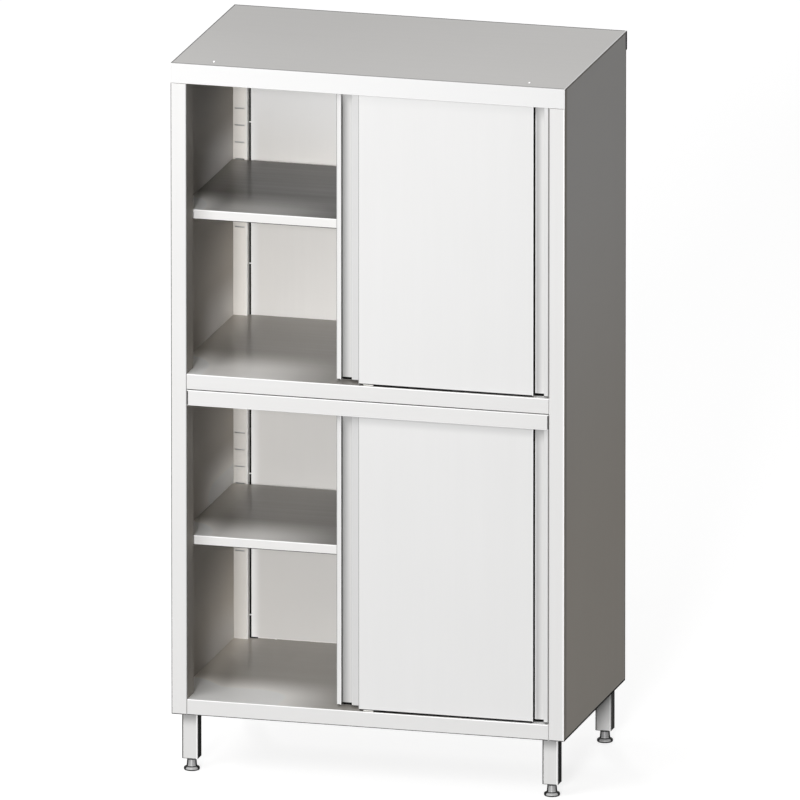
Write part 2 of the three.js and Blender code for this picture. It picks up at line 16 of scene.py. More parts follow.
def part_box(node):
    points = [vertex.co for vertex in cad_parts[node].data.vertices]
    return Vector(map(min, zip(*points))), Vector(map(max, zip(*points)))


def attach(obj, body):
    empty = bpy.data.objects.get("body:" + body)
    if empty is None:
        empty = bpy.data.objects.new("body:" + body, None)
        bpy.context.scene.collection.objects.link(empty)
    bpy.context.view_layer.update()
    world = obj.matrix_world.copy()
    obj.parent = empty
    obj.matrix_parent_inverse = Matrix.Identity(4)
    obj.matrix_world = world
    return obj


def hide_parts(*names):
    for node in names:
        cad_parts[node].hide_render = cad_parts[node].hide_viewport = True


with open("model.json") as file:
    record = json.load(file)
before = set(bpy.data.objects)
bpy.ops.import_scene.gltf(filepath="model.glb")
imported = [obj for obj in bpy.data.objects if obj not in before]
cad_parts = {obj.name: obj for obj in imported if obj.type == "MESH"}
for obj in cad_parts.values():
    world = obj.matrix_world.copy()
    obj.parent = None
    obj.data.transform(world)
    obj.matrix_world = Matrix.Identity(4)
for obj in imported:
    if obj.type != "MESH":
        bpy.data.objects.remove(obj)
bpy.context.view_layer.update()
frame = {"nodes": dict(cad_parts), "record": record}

nodes = frame["nodes"]
scene = bpy.context.scene

# %% [markdown]
# The product picture is drawn with parallel lines. A camera with a very long lens, far away,
# comes close to that and still turns round the object like any other camera. It looks from 15
# degrees to the right of the doors and 15 degrees above.

# %% Camera
LENS = 1700.0
SENSOR = 36.0
NEAREST = 1.0
FARTHEST = 400.0
FRAME_WIDTH = 1.96916
AIM = Vector((0.00224, 0.0, 0.90697))
AZIMUTH = math.radians(15.032)
ELEVATION = math.radians(15.029)


def direction(azimuth, elevation):
    """The unit vector from the object towards an eye at these angles."""
    flat = math.cos(elevation)
    return Vector((flat * math.sin(azimuth), -flat * math.cos(azimuth), math.sin(elevation)))


camera_data = bpy.data.cameras.new("camera")
camera_data.lens = LENS
camera_data.sensor_width = SENSOR
camera_data.clip_start = NEAREST
camera_data.clip_end = FARTHEST
camera = bpy.data.objects.new("camera", camera_data)
scene.collection.objects.link(camera)
distance = FRAME_WIDTH * LENS / SENSOR
camera.location = AIM + distance * direction(AZIMUTH, ELEVATION)
camera.rotation_euler = (camera.location - AIM).to_track_quat("Z", "Y").to_euler()
scene.camera = camera
scene.view_settings.view_transform = "Standard"
print("camera stands", round(distance, 1), "m away")

# %% [markdown]
# Each finish is a tree of shader nodes. Written out by hand, such a tree is long and hard to
# read, so a small class wraps one output of a node and lets Python's own signs add the Math
# nodes. Every other node comes from one function, `add_node`, or from the method `node`, which
# calls it and gives one of the new node's outputs.


# %% Adding nodes
def feed(node, values):
    """Sets inputs of a node, or links those whose value is another node's output."""
    for name, value in values.items():
        if isinstance(value, Signal):
            node.id_data.links.new(value.socket, node.inputs[name])
        else:
            node.inputs[name].default_value = value


def add_node(tree, kind, settings=None, values=None):
    """Adds a node to a tree, sets it and feeds its inputs."""
    made = tree.nodes.new(kind)
    for name, value in (settings or {}).items():
        setattr(made, name, value)
    feed(made, values or {})
    return made


# %% Shader maths
# The places of the Mix node's sockets for colours, which share their names with others
MIX_FACTOR, MIX_FIRST, MIX_SECOND, MIX_RESULT = 0, 6, 7, 2


class Signal:
    """One output of a node, which sums and products can use."""

    def __init__(self, socket):
        self.socket = socket
        self.tree = socket.id_data

    def node(self, kind, settings, values, output=0):
        """One output of a new node in the same tree."""
        return Signal(add_node(self.tree, kind, settings, values).outputs[output])

    def math(self, operation, *others):
        values = dict(enumerate((self, *others)))
        return self.node("ShaderNodeMath", {"operation": operation}, values)

    def __add__(self, other):
        return self.math("ADD", other)

    def __sub__(self, other):
        return self.math("SUBTRACT", other)

    def __mul__(self, other):
        return self.math("MULTIPLY", other)

    def __rsub__(self, other):
        return self.node("ShaderNodeMath", {"operation": "SUBTRACT"}, {0: other, 1: self})

    __radd__ = __add__
    __rmul__ = __mul__

    def clamped(self):
        return self.node("ShaderNodeClamp", {}, {"Value": self})

    def ramp(self, low, high):
        """0 below low and 1 above high, with a soft rise between."""
        values = {"Value": self, "From Min": low, "From Max": high}
        return self.node("ShaderNodeMapRange", {"interpolation_type": "SMOOTHSTEP"}, values)

    def away_from(self, axis, middle):
        """How far a vector's part along an axis is from the middle, on either side."""
        part = self.node("ShaderNodeSeparateXYZ", {}, {0: self}, axis)
        return (part - middle).math("ABSOLUTE")

    def vector_math(self, operation, values, output=0):
        return self.node("ShaderNodeVectorMath", {"operation": operation}, values, output)

    def stretched(self, scale):
        """A vector scaled along each axis."""
        return self.vector_math("MULTIPLY", {0: self, 1: scale})

    def bump(self, strength, depth, height):
        """A normal that follows a height."""
        values = {"Strength": strength, "Distance": depth, "Height": height}
        return self.node("ShaderNodeBump", {}, values, "Normal")

    def noise(self, scale, detail, roughness):
        values = {"Vector": self, "Scale": scale, "Detail": detail, "Roughness": roughness}
        return self.node("ShaderNodeTexNoise", {}, values)

    def blend(self, first, second):
        """A colour between two colours, by this signal."""
        values = {MIX_FACTOR: self, MIX_FIRST: first, MIX_SECOND: second}
        return self.node("ShaderNodeMix", {"data_type": "RGBA"}, values, MIX_RESULT)


def new_finish(name):
    """An empty material with a Principled shader: the material, the shader and its coordinates."""
    material = bpy.data.materials.new(name)
    material.use_nodes = True
    shader = material.node_tree.nodes["Principled BSDF"]
    coordinates = add_node(material.node_tree, "ShaderNodeTexCoord")
    return material, shader, Signal(coordinates.outputs["Object"])


GREEN_SHARE = 0.42


def grey(level, warmth=0.0):
    """A neutral colour, with a touch of warmth taken from the green and the blue."""
    return (level, level * (1 - warmth * GREEN_SHARE), level * (1 - warmth), 1.0)


print("a warm grey:", [round(c, 3) for c in grey(0.8, 0.1)])

# %% [markdown]
# The room is a plain studio with soft light from all round. A dim dome, strongest above the
# front left, keeps the top light grey and the right side in half shade. Two broad lamps far away
# follow: the one in front shines into the open chambers from almost the camera's direction, so
# that their backs stay bright and no hard shadow falls in them, and a weaker one behind lights
# the back. A large square lamp to the upper left makes the front a little brighter at the top.
# The camera and all reflections see plain white in place of the dome. The floor looks white to
# them too, apart from a soft shadow, and it throws little light back on the cabinet.

# %% World
DOME_TOWARDS = Vector((-0.35, -0.35, 0.87)).normalized()
DOME_STRENGTH = 0.50
ROOM_STRENGTH = 0.02


def seen_directly(tree):
    """1 for camera, glossy and transmission rays, and 0 for the light that falls on things."""
    path = add_node(tree, "ShaderNodeLightPath")
    eye = Signal(path.outputs["Is Camera Ray"])
    shine = Signal(path.outputs["Is Glossy Ray"])
    glass = Signal(path.outputs["Is Transmission Ray"])
    return eye.math("MAXIMUM", shine).math("MAXIMUM", glass)


world = bpy.data.worlds.new("studio")
scene.world = world
world.use_nodes = True
tree = world.node_tree
tree.nodes.clear()
where = Signal(add_node(tree, "ShaderNodeTexCoord").outputs["Generated"])
facing = where.vector_math("DOT_PRODUCT", {0: where, 1: DOME_TOWARDS}, "Value")
strength = ROOM_STRENGTH + DOME_STRENGTH * facing.math("MAXIMUM", 0.0)
dome = where.node("ShaderNodeBackground", {}, {"Color": grey(1.0), "Strength": strength})
white = where.node("ShaderNodeBackground", {}, {"Color": grey(1.0), "Strength": 1.0})
mixed = where.node("ShaderNodeMixShader", {}, {0: seen_directly(tree), 1: dome, 2: white})
add_node(tree, "ShaderNodeOutputWorld", values={"Surface": mixed})
print("the dome shines from", [round(c, 2) for c in DOME_TOWARDS])

# %% Lamps
LAMPS = {
    "front_lamp": {"towards": direction(math.radians(4.6), math.radians(12)), "strength": 2.05},
    "rear_lamp": {"towards": direction(math.radians(205), math.radians(25)), "strength": 0.55},
}
LAMP_SPREAD = math.radians(10)
SQUARE_PLACE = Vector((-1.3, -2.6, 2.6))
SQUARE_AIM = Vector((-0.2, -0.3, 1.2))
SQUARE_POWER = 35.0
SQUARE_WIDTH = 1.6

for name, lamp in LAMPS.items():
    data = bpy.data.lights.new(name, "SUN")
    data.energy = lamp["strength"]
    data.angle = LAMP_SPREAD
    holder = bpy.data.objects.new(name, data)
    scene.collection.objects.link(holder)
    holder.rotation_euler = lamp["towards"].to_track_quat("Z", "Y").to_euler()

data = bpy.data.lights.new("square_lamp", "AREA")
data.energy = SQUARE_POWER
data.size = SQUARE_WIDTH
holder = bpy.data.objects.new("square_lamp", data)
scene.collection.objects.link(holder)
holder.location = SQUARE_PLACE
holder.rotation_euler = (SQUARE_PLACE - SQUARE_AIM).to_track_quat("Z", "Y").to_euler()
print(len(LAMPS) + 1, "lamps")

# %% Floor
FLOOR_RADIUS = 14.0
FLOOR_SIDES = 96
FLOOR_DROP = 0.0002
FLOOR_BOUNCE = 0.16
FLOOR_LIT = 0.45
FLOOR_GLOW = 0.80

mesh = bpy.data.meshes.new("studio_floor")
angles = [2 * math.pi * i / FLOOR_SIDES for i in range(FLOOR_SIDES)]
ring = [(FLOOR_RADIUS * math.cos(a), FLOOR_RADIUS * math.sin(a), -FLOOR_DROP) for a in angles]
mesh.from_pydata(ring, [], [tuple(range(FLOOR_SIDES))])
floor = bpy.data.objects.new("studio_floor", mesh)
scene.collection.objects.link(floor)

material = bpy.data.materials.new("pale_floor")
material.use_nodes = True
tree = material.node_tree
tree.nodes.clear()
seen = seen_directly(tree)
dull = seen.node("ShaderNodeBsdfDiffuse", {}, {"Color": grey(FLOOR_BOUNCE)})
lit = seen.node("ShaderNodeBsdfDiffuse", {}, {"Color": grey(FLOOR_LIT)})
glow = seen.node("ShaderNodeEmission", {}, {"Color": grey(1.0), "Strength": FLOOR_GLOW})
paper = seen.node("ShaderNodeAddShader", {}, {0: lit, 1: glow})
mixed = seen.node("ShaderNodeMixShader", {}, {0: seen, 1: dull, 2: paper})
add_node(tree, "ShaderNodeOutputMaterial", values={"Surface": mixed})
mesh.materials.append(material)
print("floor of", FLOOR_RADIUS, "m radius")

# %% [markdown]
# Satin stainless steel is rolled sheet that was brushed with a fine abrasive belt. Seen from a
# few steps away it is an even, pale grey. Closer, thousands of fine scratches run one way, the
# gloss changes a little from streak to streak, and slow clouds of tone show where the belt
# pressed harder. The grain is a noise stretched along one axis, so each panel gets the axis along
# which its sheet was brushed. The inside keeps the smoother and slightly warm steel of the rolling
# mill, and its darker grey is painted shade. Each fold gets a painted highlight, and the seams
# under the folds get painted shade.


# %% Satin steel
X, Y, Z = 0, 1, 2
# How often each pattern changes in a metre, across the grain and along it
SCRATCH_RATES = (2600.0, 14.0)
STREAK_RATES = (60.0, 1.6)
CLOUD_RATE = 1.7
# How much lighter and darker than its level the sheet gets, and how much warmer where it is dark
TONE_SPREAD = 0.06
DARK_WARMTH = 0.008
BRIGHT_TINT_SHARE = 0.3
PALEST = (0.98, 0.98, 0.97)
SATIN_ROUGHNESS = 0.47


def along(grain, rates):
    """The scale of a pattern that is stretched along the grain's axis."""
    across, lengthwise = rates
    return [lengthwise if axis == grain else across for axis in (X, Y, Z)]


print("scale of the scratches on a sheet brushed along Z:", along(Z, SCRATCH_RATES))


def satin_steel(
    name, grain, level, warmth=0.01, polish=0.0, gloss=0.0, streaks=0.3, coat=0.0,
    bands=(), lifts=(),
):
    """Brushed sheet with its grain along one axis.

    Each of the bands is (axis, place, half, reach, level): the steel has that other level up to
    half from the place along the axis, and its own again from reach on. Bright bands lose most
    of the warm tint. The lifts are laid out in the same way, but multiply what is there. Bands
    and lifts paint light and shade into the colour.
    """
    material, shader, place = new_finish(name)
    scratch = place.stretched(along(grain, SCRATCH_RATES)).noise(1.0, 3.0, 0.6)
    streak = place.stretched(along(grain, STREAK_RATES)).noise(1.0, 3.0, 0.55)
    cloud = place.noise(CLOUD_RATE, 2.0, 0.5)
    tone = streaks * (streak - 0.5) + 0.5 * (cloud - 0.5) + 0.3 * (scratch - 0.5) + 0.5
    darkest = grey(level * (1 - TONE_SPREAD), warmth + DARK_WARMTH)
    colour = tone.clamped().blend(darkest, grey(level * (1 + TONE_SPREAD), warmth))
    for axis, middle, half, reach, other in bands:
        tint = warmth if other < level else warmth * BRIGHT_TINT_SHARE
        colour = place.away_from(axis, middle).ramp(half, reach).blend(grey(other, tint), colour)
    for axis, middle, half, reach, factor in lifts:
        gain = factor + (1 - factor) * place.away_from(axis, middle).ramp(half, reach)
        lifted = colour.vector_math("SCALE", {0: colour, "Scale": gain})
        colour = lifted.vector_math("MINIMUM", {0: lifted, 1: PALEST})
    rough = 0.10 * (scratch - 0.5) + 0.16 * (streak - 0.5) + (SATIN_ROUGHNESS - polish)
    bump = place.bump(0.22, 0.00006, scratch)
    feed(shader, {
        "Base Color": colour,
        "Roughness": rough.clamped(),
        "Metallic": 0.06,
        "Specular IOR Level": gloss,
        "Coat Weight": coat,
        "Coat Roughness": 0.10,
        "Normal": bump,
    })
    return material


# %% [markdown]
# The finishes follow places on the cabinet, and most of those come from the CAD boxes: where a
# door ends, where a shelf meets the wall, how high a doorway is. The body is the same on the left
# and on the right, and the doors are not.

# %% Places on the cabinet
LEFT, FRONT, HEADER_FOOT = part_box("top_panel")[0]
RIGHT, BACK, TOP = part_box("top_panel")[1]
BODY_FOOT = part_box("left_side_panel")[0].z
SIDE_BACK, SIDE_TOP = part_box("left_side_panel")[1].yz
# How far in from the back panel's sides its painted highlight lines lie
PANEL_HIGHLIGHT_INSET = 0.0015
PANEL_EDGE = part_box("back_panel")[1].x - PANEL_HIGHLIGHT_INSET
PANEL_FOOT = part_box("back_panel")[0].z
STRIP_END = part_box("lower_header")[1].x
STRIP_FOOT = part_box("lower_header")[0].z
LEG_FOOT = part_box("leg_front_left")[0].z
MID_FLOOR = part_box("mid_shelf")[1].z
FLANGE_HALF = (MID_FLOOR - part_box("mid_shelf")[0].z) / 2
LOW_FLOOR = BODY_FOOT + 2 * FLANGE_HALF
DOOR_FEET = [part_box(c + "_right_door_face")[0].z for c in ("upper", "lower")]
SHELF_FEET = [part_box(c + "_adjustable_shelf")[0].z for c in ("upper", "lower")]
SHELF_TREADS = [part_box(c + "_adjustable_shelf")[1].z for c in ("upper", "lower")]
SHELF_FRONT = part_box("upper_adjustable_shelf")[0].y

# A door's grip is a recess between its lip and its front skin
LIP = 0.012
GRIP = 0.039
REAR_DOOR_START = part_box("upper_left_door_face")[0].x
FRONT_DOOR_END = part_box("upper_right_door_face")[1].x
REAR_WALL = REAR_DOOR_START + LIP
FRONT_WALL = FRONT_DOOR_END - GRIP
GRIP_END_SHADE = 0.0025
STRIP_HALF = 0.0115

# Chosen: how far under a doorway's top and under a shelf the darkest shade lies, the X of
# the darkest part of shelves and floors, the Z of the palest part of the inner walls, the X of
# the rear flanges' middle, and the Y of the light line down the side of a rear and a front leg
# These places set where painted shade and painted light lie in the finishes below
DOORWAY_SHADE = 0.002
SHELF_SHADE = 0.0035
TREAD_SHADE = 0.02
PALE_WALL = 0.75
REAR_FLANGE = 0.4805
REAR_LEG_LIGHT = 0.250
FRONT_LEG_LIGHT = -0.26
print("floors at", round(LOW_FLOOR, 3), "and", round(MID_FLOOR, 3), "m")

# %% The finishes of the sheet
MILL = {"warmth": 0.16, "polish": 0.12, "gloss": 0.3}


def at_each(axis, places, half, reach, level):
    """The same band at several places along an axis."""
    return [(axis, place, half, reach, level) for place in places]


def both_sides(place):
    return (-place, place)


def by_the_walls(factor):
    """Lifts for a shelf where it meets the two side panels."""
    # Painted light: the shelf gets lighter where it meets the walls
    return at_each(X, (LEFT, RIGHT), 0.0, 0.10, factor)


# Painted shade: a dark line along the foot of the body
painted_foot_shade = at_each(Z, [BODY_FOOT], 0.0018, 0.0026, 0.10)
# Painted shade: a dark line along the foot of each leg
painted_leg_foot_shade = at_each(Z, [LEG_FOOT], 0.0010, 0.0018, 0.12)
# Painted shade on the inner walls under the header, the shelves and the lower header, and behind
# the front stiles, with painted light just above each floor
wall_shades = [
    (Z, HEADER_FOOT, 0.03, 0.36, 0.24),
    (Z, SHELF_FEET[0] - SHELF_SHADE, 0.03, 0.36, 0.36),
    (Z, STRIP_FOOT, 0.03, 0.36, 0.42),
    (Z, SHELF_FEET[1] - SHELF_SHADE, 0.03, 0.36, 0.33),
    (Z, SHELF_TREADS[0], 0.01, 0.13, 0.86),
    (Z, MID_FLOOR, 0.01, 0.13, 0.92),
    (Z, SHELF_TREADS[1], 0.01, 0.13, 0.90),
    (Z, LOW_FLOOR, 0.01, 0.13, 0.84),
    (Y, FRONT, 0.17, 0.41, 0.38),
]
# Painted shade on the door faces: a dark line along each door's foot, and shade under each
# doorway's top
face_painted_shades = [
    *at_each(Z, DOOR_FEET, 0.0012, 0.0018, 0.03),
    (Z, HEADER_FOOT - DOORWAY_SHADE, 0.002, 0.030, 0.71),
    (Z, STRIP_FOOT - DOORWAY_SHADE, 0.004, 0.026, 0.62),
]
# Painted shade in the grips: a black line along each door's foot, and shade under each doorway's
# top
grip_painted_shades = [
    *at_each(Z, DOOR_FEET, 0.0026, 0.0032, 0.01),
    (Z, HEADER_FOOT - DOORWAY_SHADE, 0.003, 0.045, 0.55),
    (Z, STRIP_FOOT - DOORWAY_SHADE, 0.004, 0.045, 0.50),
]
flange_fronts = (MID_FLOOR - FLANGE_HALF, BODY_FOOT + FLANGE_HALF)

# The finishes below are one brushed steel at many levels, each lighter or darker for how the light
# falls on that part, so the levels are painted light and shade, and most bands add painted
# highlights and shade at edges, seams and corners
sheet_finishes = {
    # Painted highlight down the right front corner, and painted shade along the foot
    "front": satin_steel("brushed_stile", Z, 0.735, bands=[
        (X, RIGHT, 0.0032, 0.0042, 1.0), *painted_foot_shade,
    ]),
    # Painted light towards the top, and painted shade along the foot
    "front_level": satin_steel("brushed_header", X, 0.73, bands=[
        (Z, TOP, 0.05, 0.10, 0.765), *painted_foot_shade,
    ]),
    # Painted shade at both ends, where the strip meets the stiles
    "strip": satin_steel("brushed_strip", X, 0.735, bands=at_each(
        X, both_sides(STRIP_END), 0.0026, 0.0034, 0.06,
    )),
    # Painted shade along the front, back and left edges and towards the left, and a painted
    # highlight along the right edge
    "top": satin_steel("brushed_top", X, 0.757, 0.03, bands=[
        (Y, FRONT, 0.007, 0.011, 0.48), (Y, BACK, 0.006, 0.009, 0.22),
        (X, LEFT, 0.0022, 0.0036, 0.22), (X, RIGHT, 0.0028, 0.0040, 0.92),
    ], lifts=[(X, LEFT, 0.1, 1.0, 0.93)]),
    # Painted light towards the top, and painted shade near the front edge, along the rear edge,
    # under the top and along the foot
    "outer": satin_steel("brushed_side", Z, 0.82, 0.15, bands=[
        (Z, TOP, 0.105, 1.305, 0.93), (Y, FRONT, 0.008, 0.030, 0.57),
        (Y, SIDE_BACK, 0.0062, 0.0074, 0.03), (Z, SIDE_TOP, 0.0026, 0.0036, 0.45),
        (Z, BODY_FOOT, 0.0042, 0.0050, 0.01),
    ]),
    # A paler copy for the back, which the lamps light little: painted light
    "rear": satin_steel("brushed_rear", Z, 0.92, 0.05),
    # Painted shade on the strip of a rear door beside the front door, and at foot and top
    "door": satin_steel("brushed_door", Z, 0.745, 0.004, polish=0.03, streaks=0.15, bands=[
        (X, REAR_DOOR_START + GRIP + STRIP_HALF, STRIP_HALF, 0.0122, 0.61), *face_painted_shades,
    ]),
    # A darker copy of the door's steel: painted shade, with the same painted shade at foot and top
    "lip": satin_steel("brushed_lip", Z, 0.70, 0.004, polish=0.03, bands=face_painted_shades),
    # A darker copy in the recess: painted shade, darkest by its wall and at the grip's end
    "rear_grip": satin_steel("brushed_rear_grip", Z, 0.665, polish=0.05, bands=[
        (X, REAR_WALL, 0.001, 0.026, 0.46),
        (X, REAR_DOOR_START + GRIP - GRIP_END_SHADE, 0.0018, 0.0050, 0.58), *grip_painted_shades,
    ]),
    # A darker copy in the recess: painted shade, with a painted highlight line at its wall
    "front_grip": satin_steel("brushed_front_grip", Z, 0.69, polish=0.05, bands=[
        (X, FRONT_WALL, 0.006, 0.020, 0.60), (X, FRONT_WALL, 0.003, 0.006, 0.85), *grip_painted_shades,
    ]),
    "edge": satin_steel("shaded_edge", Z, 0.40),
    # Painted shade on the front folds, lifted to the stile's level at the flange fronts
    "edge_level": satin_steel("levelled_edge", Z, 0.40, bands=at_each(
        Z, flange_fronts, FLANGE_HALF, FLANGE_HALF + 0.0005, 0.735,
    )),
    "grip_wall": satin_steel("shaded_grip_wall", Z, 0.30, bands=grip_painted_shades),
    # Painted light towards the top and along the left border, painted shade towards the floor, and
    # painted highlight lines along the edges
    "back": satin_steel("back_panel_steel", Z, 0.82, 0.05, gloss=0.1, bands=[
        (Z, TOP, 0.195, 0.395, 0.92), (Z, LOW_FLOOR, 0.20, 0.85, 0.69),
        (X, -PANEL_EDGE, 0.004, 0.030, 0.90),
        *at_each(X, both_sides(PANEL_EDGE), 0.0012, 0.0018, 0.96),
        (Z, PANEL_FOOT, 0.0016, 0.0022, 0.96),
    ]),
    # A paler copy, painted light against the stiles' shadow, with painted shade on the lower rails
    "rail": satin_steel("slotted_rail_steel", Z, 0.98, 0.08, bands=[
        (Z, BODY_FOOT, 0.80, 0.82, 0.80),
    ]),
    # A paler copy for the rails' flanks: painted light
    "rail_side": satin_steel("slotted_rail_flank", Z, 0.95, 0.05),
    # Painted shade under the header, the shelves and the lower header and behind the stiles, and
    # painted light above the floors and in the lower chamber's upper part
    "inner": satin_steel(
        "mill_steel_upright", Z, 0.78, 0.16, gloss=0.04, streaks=0.9,
        bands=wall_shades, lifts=[(Z, PALE_WALL, 0.12, 0.22, 1.3)],
    ),
    # Painted shade: a dark tread, with painted light at its front and by the walls, darkest in the
    # middle
    "shelf": satin_steel("mill_steel_shelf", X, 0.062, coat=0.08, bands=[
        (Y, SHELF_FRONT, 0.025, 0.195, 0.52), (X, TREAD_SHADE, 0.06, 0.34, 0.045),
    ], lifts=by_the_walls(3.8), **MILL),
    # Painted shade: a dark tread, with painted light at its front and by the walls, darkest in the
    # middle
    "low_shelf": satin_steel("mill_steel_low_shelf", X, 0.20, coat=0.12, bands=[
        (Y, SHELF_FRONT, 0.025, 0.195, 0.86), (X, TREAD_SHADE, 0.06, 0.34, 0.12),
    ], lifts=by_the_walls(2.2), **MILL),
    # Painted shade: a dark floor, with painted light at its front and by the walls, darkest in the
    # middle, and the bottom floor painted lighter
    "floor": satin_steel("mill_steel_floor", X, 0.24, coat=0.16, bands=[
        (Y, FRONT, 0.07, 0.26, 0.88), (X, TREAD_SHADE, 0.06, 0.34, 0.20),
    ], lifts=[*by_the_walls(1.9), (Z, LOW_FLOOR, 0.05, 0.06, 1.4)], **MILL),
    # Painted shade along the foot of each shelf's lip
    "shelf_edge": satin_steel("shelf_edge_steel", X, 0.76, 0.02, bands=at_each(
        Z, SHELF_FEET, 0.0014, 0.0020, 0.03,
    )),
    # Painted highlight on the folds
    "fold": satin_steel("rubbed_fold", Z, 0.98, 0.0),
    # Painted shade in the seams under the folds
    "seam": satin_steel("dark_seam", X, 0.02, 0.05),
    "dark": satin_steel("shadowed_steel", Z, 0.012, 0.05),
    "flange": satin_steel("shadowed_flange", Z, 0.012, 0.05, bands=at_each(
        X, both_sides(REAR_FLANGE), 0.0186, 0.0190, 0.8,
    )),
    # Painted shade at the top of a front leg under the body, and along its foot
    "leg": satin_steel("brushed_leg", Z, 0.71, bands=[
        (Z, BODY_FOOT, 0.001, 0.040, 0.42), *painted_leg_foot_shade,
    ]),
    # A paler copy for the rear legs: painted light, with painted shade along the foot
    "rear_leg": satin_steel("brushed_rear_leg", Z, 0.86, bands=painted_leg_foot_shade),
    # Painted shade on the rounded corners of a leg that turn to the left
    "leg_corner": satin_steel("rubbed_leg_corner", Z, 0.08),
    # Painted shade on the right side of a leg, with painted light lines down it
    "leg_side": satin_steel("unbrushed_leg_side", Z, 0.02, 0.02, bands=[
        (Y, FRONT_LEG_LIGHT, 0.008, 0.013, 0.07), (Y, REAR_LEG_LIGHT, 0.011, 0.015, 0.17),
    ]),
    "track": satin_steel("plain_track_steel", X, 0.55),
}
print(len(sheet_finishes), "finishes for sheet")

# %% [markdown]
# The clips and hangers are zinc plated, which leaves a slightly blotchy, bluish grey. The feet
# and the screws are turned, so fine rings run round them. The screws mirror the room. The feet
# are duller, with painted shade in dark lines at their edges, and a painted dark reflection where
# they turn away from the eye.


# %% Plated and turned steel
ZINC_DARK = (0.50, 0.515, 0.52, 1.0)
ZINC_LIGHT = (0.62, 0.63, 0.62, 1.0)


def plated_steel(name):
    material, shader, place = new_finish(name)
    blotch = place.noise(90.0, 4.0, 0.6)
    grain = place.noise(900.0, 2.0, 0.5)
    colour = blotch.ramp(0.3, 0.7).blend(ZINC_DARK, ZINC_LIGHT)
    rough = 0.25 * (blotch - 0.5) + 0.1 * (grain - 0.5) + 0.42
    feed(shader, {
        "Base Color": colour,
        "Roughness": rough.clamped(),
        "Metallic": 0.55,
        "Specular IOR Level": 0.3,
    })
    return material


RING_RATE = 2400.0
RING_REACH_SHARE = 1.5
# The painted dark reflection on the feet: its level, and how far the surface turns away
PAINTED_REFLECTION_LEVEL = 0.015
PAINTED_REFLECTION_TURN = (0.26, 0.42)
TURNED_ROUGHNESS = 0.32


def turned_steel(name, level, bands=(), metal=0.12, gloss=0.2, painted_reflection=False):
    """Turned steel with fine rings round Z.

    Each of the bands is (height, half, level), and fades out over half as much again. With a
    painted dark reflection, the colour darkens where the round piece turns away from the eye,
    as if it mirrored dark surroundings.
    """
    material, shader, place = new_finish(name)
    rings = place.stretched((4.0, 4.0, RING_RATE)).noise(1.0, 2.0, 0.5)
    smudge = place.noise(60.0, 3.0, 0.5)
    colour = smudge.blend(grey(level * 0.85), grey(level * 1.15))
    for height, half, other in bands:
        edge = place.away_from(Z, height).ramp(half, half * RING_REACH_SHARE)
        colour = edge.blend(grey(other), colour)
    if painted_reflection:
        # Painted reflection: the colour darkens where the surface turns away from the eye
        normal = place.node("ShaderNodeNewGeometry", {}, {}, "Normal")
        level_normal = normal.stretched((1.0, 1.0, 0.0))
        level_normal = level_normal.vector_math("NORMALIZE", {0: level_normal})
        values = {"Blend": 0.5, "Normal": level_normal}
        turning = place.node("ShaderNodeLayerWeight", {}, values, "Facing")
        colour = turning.ramp(*PAINTED_REFLECTION_TURN).blend(colour, grey(PAINTED_REFLECTION_LEVEL))
    rough = 0.10 * (rings - 0.5) + 0.08 * (smudge - 0.5) + TURNED_ROUGHNESS
    bump = place.bump(0.15, 0.00005, rings)
    feed(shader, {
        "Base Color": colour,
        "Roughness": rough.clamped(),
        "Metallic": metal,
        "Specular IOR Level": gloss,
        "Normal": bump,
    })
    return material


zinc = plated_steel("zinc_plated_steel")
# The neck is darker than the disc, and painted shade darkens the sole, the disc's upper edge and
# the collar
FOOT_BANDS = [
    (0.0210, 0.0070, 0.40), (0.0, 0.0030, 0.02), (0.0106, 0.0007, 0.02), (0.0292, 0.0013, 0.02),
]
turned_foot = turned_steel("turned_foot_steel", 0.49, FOOT_BANDS, gloss=0.03, painted_reflection=True)
turned_screw = turned_steel("bright_screw_steel", 0.86, metal=1.0)
print("zinc plated and turned steel")

# %% [markdown]
# The rollers and the floor guides are moulded in off-white nylon, and the inserts in the legs in
# black nylon. Moulded nylon is matt, with a faint grain from its mould and soft clouds of tone.


# %% Nylon
def nylon(name, dark, light, roughness):
    material, shader, place = new_finish(name)
    grain = place.noise(1500.0, 3.0, 0.6)
    cloud = place.noise(70.0, 2.0, 0.5)
    feed(shader, {
        "Base Color": cloud.blend(dark, light),
        "Roughness": (roughness + 0.2 * (grain - 0.5)).clamped(),
        "Normal": place.bump(0.2, 0.00008, grain),
    })
    return material


nylon_white = nylon("off_white_nylon", (0.80, 0.79, 0.75, 1.0), (0.90, 0.89, 0.86, 1.0), 0.50)
nylon_black = nylon("black_nylon", (0.012, 0.012, 0.013, 1.0), (0.03, 0.03, 0.031, 1.0), 0.55)
print("two nylons")

# %% [markdown]
# A CAD node comes as loose flat triangles, and each fold in the sheet is three of them in a row.
# On the real cabinet a fold is a smooth round edge of two millimetres. So every sheet is copied:
# the copy's doubles are merged, and the normals at its corners are set one by one. A corner beside
# a flat area takes that area's normal, so flats stay flat, and a corner inside a fold takes the
# mean of the strips that meet there, so light runs smoothly round it. No vertex moves.

# %% Copy a node as one clean sheet
MERGE = 0.000001
FLAT = 0.9995
SMOOTH_LIMIT = math.cos(math.radians(35))


def heading(normal):
    """The axis that a flat face looks along, such as "-Y", or nothing on a fold."""
    for axis, letter in enumerate("XYZ"):
        if abs(normal[axis]) > FLAT:
            return letter if normal[axis] > 0 else "-" + letter
    return ""


